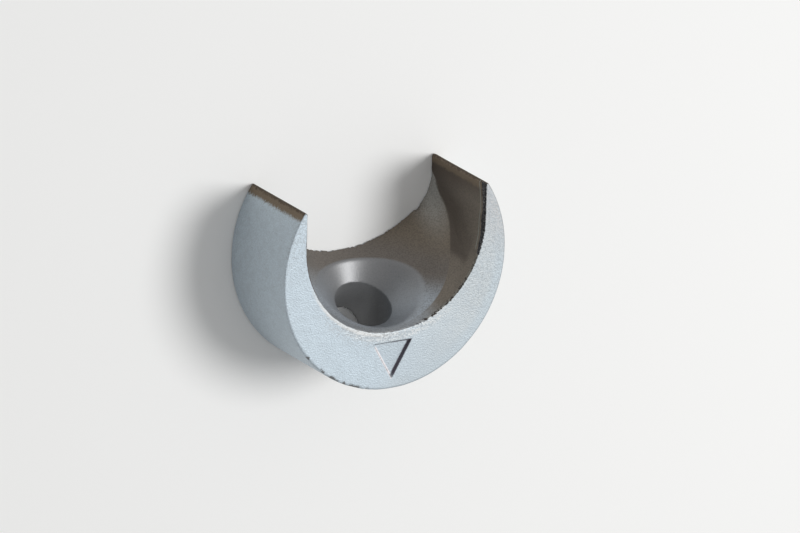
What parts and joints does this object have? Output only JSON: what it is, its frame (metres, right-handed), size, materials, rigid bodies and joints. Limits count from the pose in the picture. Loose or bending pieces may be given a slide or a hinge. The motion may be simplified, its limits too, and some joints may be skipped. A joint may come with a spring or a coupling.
{
  "type": "angled washer",
  "caption": "Round cast washer with a U-shaped recess and a sloping hollow seat, so that a timber screw driven at a shallow slant pulls up square and stays below the surface.",
  "frame": {"origin": "on the axis of the disc, in the plane of its base", "axes": "+Z from the base to the crescent face; -Y the way the triangular mark points and the screw goes in; +Y out of the open side of the recess; X across the two arms, and the part is mirror symmetric about X = 0"},
  "size_m": [0.048, 0.0374, 0.0195],
  "materials": {
    "zinc_plated_casting": "matte bluish zinc plating over a fine sandy cast skin, darker and smoother in the recess"
  },
  "bodies": {
    "root": {"washer": "zinc_plated_casting"}
  },
  "joints": []
}
